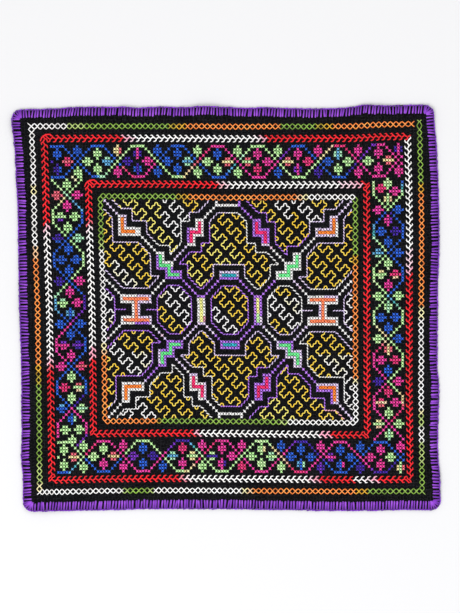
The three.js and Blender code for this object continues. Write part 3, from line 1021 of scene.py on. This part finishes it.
def meander(region, peak, colour):
    """The running line over a region, from a known peak of it."""
    low, high = np.min(region, axis=0) - MARGIN, np.max(region, axis=0) + MARGIN
    for line in range(-LINES_EACH_WAY, LINES_EACH_WAY + 1):
        pair, partner = divmod(line, 2)
        base_u = peak[0] + pair * PAIR_STEP + partner * PARTNER[0] - 0.5
        base_v = peak[1] + pair * PAIR_STEP + partner * PARTNER[1]
        path = np.array([(base_u + REPEAT_STEP * k + x, base_v - REPEAT_STEP * k - y)
                         for k in range(-REPEATS_EACH_WAY, REPEATS_EACH_WAY)
                         for x, y in MEANDER])
        path = path[((path > low) & (path < high)).all(axis=1)]
        if len(path) <= FEWEST:
            continue
        curve = rounded(path)
        keep = inside(curve[:, 0], curve[:, 1], region)
        start = None
        for i in range(len(curve) + 1):
            kept = i < len(curve) and keep[i]
            on = kept and (i == 0 or np.abs(curve[i] - curve[i - 1]).sum() < JUMP)
            if on and start is None:
                start = i
            if not on and start is not None:
                if i - start > FEWEST:
                    draw_fill(curve[start:i], colour)
                start = i if kept else None


def turn_white(test):
    """Colour of a dyed strand: white where the test of u, v and u + v holds."""
    return lambda u, v: "white" if test(u, v, u + v) else "fill_gold"


CROWN = HALF_CROWN + flip(HALF_CROWN, -1, 1)[::-1]

# outline, a peak of its running line and its colours, which change from strand to strand
REGIONS = [
    (CROWN, (4, 19), lambda u, v: "fill_light" if u < 5 and (10 < u + v < 23 or u + v < 3)
     else "fill_gold"),
    (flip(CROWN, 1, -1), (3, -16), "fill_gold"),
    (SHOULDER, (18, 30), turn_white(lambda u, v, s: 49.5 < s < 56.5 and u < 22.5
                                    or 56.5 < s < 63.5)),
    (flip(SHOULDER, -1, 1), (-30, 33),
     lambda u, v: "white" if 5 < u + v < 18.5 and (u > -23.5 or u + v > 12) else
     "fill_light" if u + v < 12 else "fill_gold"),
    (flip(SHOULDER, 1, -1), (21, -27),
     lambda u, v: "fill_light" if u + v < -12 else "fill_gold"),
    (flip(SHOULDER, -1, -1), (-21, -27), turn_white(lambda u, v, s: s < -60.5)),
    (HIP, (38, 18), "fill_gold"),
    (flip(HIP, -1, 1), (-38, 21), turn_white(lambda u, v, s: s < -22.5 and u > -41.3)),
    (flip(HIP, 1, -1), (32, -18), turn_white(lambda u, v, s: s > 15.5 and v < -14.5 or v < -22.2)),
    (flip(HIP, -1, -1), (-36, -16), turn_white(lambda u, v, s: -57 < s < -50.5
                                               or -50.5 < s < -43.5 and v < -14)),
    (MIDDLE_RING, (3, 0), turn_white(lambda u, v, s: s < -2 and v < 1.7)),
    (SIDE_RING, (18, 2), turn_white(lambda u, v, s: (s > 14.5 or v > -2.5)
                                    and not (s > 21.5 and v > 4.5))),
    (flip(SIDE_RING, -1, 1), (-19, 3),
     lambda u, v: "fill_gold" if u + v < -21.5 else
     "cream" if -25 < u < -22 and 3 < v < 7 else "white"),
    (WAIST, (42, 6), "white"),
    (flip(WAIST, -1, 1), (-42, 0), lambda u, v: "cream" if v < -3 else "white"),
]
for region, peak, colour in REGIONS:
    meander(region, peak, colour)

# Edging

# for each side, clockwise from the top: its name, and of its stitches the pitch, depth, lean
# and extra thickness of the yarn
EDGING = [("top", 2.38, 7.3, 0.4, 0), ("right", 2.57, 6.7, 0, 0.05),
          ("bottom", 2.38, 7.7, 0.3, 0.09), ("left", 2.57, 7.0, 0, 0.02)]
# six points of a blanket stitch, from the edge inwards: share of its depth, height and painted
# light, from painted shade at the outer end to the yarn's own colour at the inner end
STITCH_SHARES = np.array([0, 0.12, 0.4, 0.75, 0.94, 1.0])
STITCH_HEIGHTS = np.array([1.2, 1.85, 1.95, 1.9, 1.6, 1.1])
STITCH_PAINTED_LIGHT = column(0, 0.15, 0.5, 0.9, 1, 1)
# how uneven the stitches are, in millimetres: place along the edge, depth, start and sway.
# The sway keeps a share of the last stitch's, and turns about a share of the depth.
PITCH_SPREAD, DEPTH_SPREAD = 0.18, 0.27
START, START_SPREAD = 0.5, 0.13
SWAY_KEPT, SWAY_SPREAD, SWAY_PIVOT = 0.45, 0.38, 0.4
THINNEST, THICKEST = 0.52, 0.78
RIDGE_HEIGHTS = np.array([0.7, 1.15, 1.3, 1.1, 0.7])
RIDGE_RADIUS, RIDGE_OVERLAP = 0.46, 0.35
RIDGE_INSET, RIDGE_SPREAD, RIDGE_SLANT = 0.5, 0.15, 0.25


def edging(side, name, pitch, depth, lean, thicker):
    """Blanket stitches over the edge, about one a cell of the ground, and the ridge they
    make."""
    yarn = Yarn()
    points, spokes = edge_line(side)
    length = running_length(points)
    count = int(length[-1] / pitch)
    jitter = rng.uniform(-PITCH_SPREAD, PITCH_SPREAD, count)
    spots = (np.arange(count) + 0.5 + jitter) * (length[-1] / count)

    def at(distance, inset, height):
        distance = np.clip(distance, 0, length[-1])
        out = on_line(distance, length, spokes) * np.asarray(inset)[..., None]
        x, y = (on_line(distance, length, points) - out - MIDDLE).T
        return np.stack([x, y, lift(x, y) + height], axis=-1)

    sway = 0
    # painted shade at the outer end of each stitch, where it turns over the edge
    edge_shade = YARN["purple_painted_shade"] * 0.55 + YARN["purple"] * 0.45
    for spot in spots:
        reach = depth + rng.normal(0, DEPTH_SPREAD)
        outer = START + rng.normal(0, START_SPREAD)
        sway = SWAY_KEPT * sway + rng.normal(0, SWAY_SPREAD) - lean
        path = at(spot + sway * (STITCH_SHARES - SWAY_PIVOT),
                  outer + STITCH_SHARES * (reach - outer), STITCH_HEIGHTS)
        tone = rng.uniform(0, 1)
        light = YARN["purple"] * (1 - tone) + YARN["purple_light"] * tone
        yarn.thread(path, rng.uniform(THINNEST, THICKEST) + thicker,
                    edge_shade * (1 - STITCH_PAINTED_LIGHT) + light * STITCH_PAINTED_LIGHT, sides=8, flat=0.6, ends=0.6)
    joints = np.concatenate([[0], (spots[1:] + spots[:-1]) / 2, [length[-1]]])
    t = np.linspace(0, 1, len(RIDGE_HEIGHTS))
    for a, b in zip(joints, joints[1:]):
        path = at(a - RIDGE_OVERLAP + (b - a + 2 * RIDGE_OVERLAP) * t,
                  rng.normal(RIDGE_INSET, RIDGE_SPREAD) + RIDGE_SLANT * np.cos(t * math.pi),
                  RIDGE_HEIGHTS)
        yarn.thread(path, RIDGE_RADIUS, shaded(YARN["purple"] * 0.92, 0.3), sides=8, flat=1.2,
                    ends=0.7)
    obj = yarn.build(f"{name}_stitches", edging_material)
    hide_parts(f"edging_{name}")
    return obj


pieces += [edging(side, *stitches) for side, stitches in enumerate(EDGING)]
for name, yarn in (*worked.items(), ("panel_blocks", panel), ("panel_lines", lines),
                   ("panel_fill", running)):
    pieces.append(yarn.build(name, stitch_material))

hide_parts("ground_cloth")
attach(ground, "root")
for piece in pieces:
    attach(piece, "root")

# Floor, light and camera

FLOOR_REACH = 3
FLOOR_DROP = 0.0004
CAMERA_PLACE = (0.00315, 0.00136, 1.802)

scene = bpy.context.scene
floor_mesh = bpy.data.meshes.new("floor")
floor_mesh.from_pydata([(fx * FLOOR_REACH, fy * FLOOR_REACH, -FLOOR_DROP)
                        for fx, fy in ((-1, -1), (1, -1), (1, 1), (-1, 1))], [], [(0, 1, 2, 3)])
floor = bpy.data.objects.new("floor", floor_mesh)
scene.collection.objects.link(floor)
floor_material, _, floor_shader = new_material("floor")
set_inputs(floor_shader, {"Base Color": (0.70, 0.70, 0.71, 1), "Roughness": 0.9})
floor_mesh.materials.append(floor_material)


def area_light(name, position, size, power):
    """A square light that faces the middle of the cloth."""
    data = bpy.data.lights.new(name, "AREA")
    data.size = size
    data.energy = power
    light = bpy.data.objects.new(name, data)
    light.location = position
    x, y, z = position
    light.rotation_euler = (math.atan2(math.hypot(x, y), z), 0, math.atan2(-x, y) + math.pi)
    scene.collection.objects.link(light)


area_light("key", position=(-0.5, -0.9, 1.6), size=1.0, power=18.5)
area_light("soft", position=(0.9, 0.9, 1.9), size=1.6, power=11.5)
scene.view_settings.view_transform = "Standard"

world = bpy.data.worlds.new("room")
scene.world = world
world.use_nodes = True
set_inputs(world.node_tree.nodes["Background"], {"Color": (1, 1, 1, 1), "Strength": 0.82})

camera_data = bpy.data.cameras.new("camera")
camera_data.lens = 85
camera_data.sensor_fit = "VERTICAL"
camera_data.sensor_height = 24
camera = bpy.data.objects.new("camera", camera_data)
camera.location = CAMERA_PLACE
scene.collection.objects.link(camera)
bpy.context.scene.camera = camera
